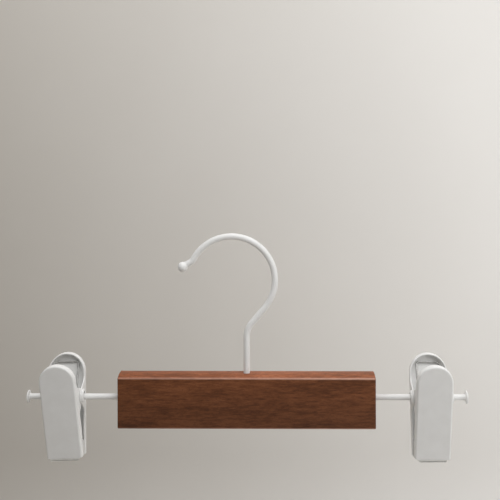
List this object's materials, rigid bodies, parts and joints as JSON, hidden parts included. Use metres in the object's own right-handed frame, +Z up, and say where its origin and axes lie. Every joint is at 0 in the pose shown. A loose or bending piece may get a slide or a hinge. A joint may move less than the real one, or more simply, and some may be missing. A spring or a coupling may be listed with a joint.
{
  "type": "skirt hanger",
  "caption": "Wooden bar on a swivelling wire hook, with a sprung steel clip that slides and swings on a rod at each end.",
  "frame": {"origin": "the point where the hook rests on the rail, the inner top of its round part", "axes": "+Z up, +X along the bar to the right as the front is seen, -Y out of the front"},
  "size_m": [0.279, 0.0316, 0.1437],
  "materials": {
    "stained_wood": "dark brown stain, satin lacquer",
    "white_coat": "white powder coat, satin",
    "spring_steel": "bright zinc",
    "zinc_steel": "dull zinc",
    "jaw_pad": "soft white, matt"
  },
  "bodies": {
    "hook": {"hook_wire": "white_coat"},
    "bar": {"wood_bar": "stained_wood", "hook_washer": "zinc_steel", "left_rod": "white_coat", "right_rod": "white_coat"},
    "left_sleeve": {"left_pivot_sleeve": "white_coat"},
    "left_clip_back": {"left_back_leg": "white_coat", "left_back_pad": "jaw_pad", "left_spring": "spring_steel"},
    "left_clip_front": {"left_front_leg": "white_coat", "left_front_pad": "jaw_pad"},
    "right_sleeve": {"right_pivot_sleeve": "white_coat"},
    "right_clip_back": {"right_back_leg": "white_coat", "right_back_pad": "jaw_pad", "right_spring": "spring_steel"},
    "right_clip_front": {"right_front_leg": "white_coat", "right_front_pad": "jaw_pad"}
  },
  "joints": [
    {"name": "hook_swivel", "type": "hinge", "parent": "hook", "child": "bar", "pos_m": [0.0095, 0, -0.0844], "axis": [0, 0, 1], "continuous": true},
    {"name": "left_clip_slide", "type": "slide", "parent": "bar", "child": "left_sleeve", "axis": [1, 0, 0], "range_m": [-0.0074, 0.0218]},
    {"name": "left_clip_swing", "type": "hinge", "parent": "left_sleeve", "child": "left_clip_back", "pos_m": [-0.10745, 0, -0.0998], "axis": [0.9988, 0, 0.048], "continuous": true},
    {"name": "left_jaw", "type": "hinge", "parent": "left_clip_back", "child": "left_clip_front", "pos_m": [-0.10745, 0, -0.0998], "axis": [-0.9988, 0, -0.048], "range_deg": [0, 36], "stiffness_Nm_per_rad": 0.4, "springref_deg": -34.38, "deforming": ["left_spring"]},
    {"name": "right_clip_slide", "type": "slide", "parent": "bar", "child": "right_sleeve", "axis": [1, 0, 0], "range_m": [-0.0218, 0.0074]},
    {"name": "right_clip_swing", "type": "hinge", "parent": "right_sleeve", "child": "right_clip_back", "pos_m": [0.12645, 0, -0.0998], "axis": [1, 0, 0], "continuous": true},
    {"name": "right_jaw", "type": "hinge", "parent": "right_clip_back", "child": "right_clip_front", "pos_m": [0.12645, 0, -0.0998], "axis": [-1, 0, 0], "range_deg": [0, 36], "stiffness_Nm_per_rad": 0.4, "springref_deg": -34.38, "deforming": ["right_spring"]}
  ]
}
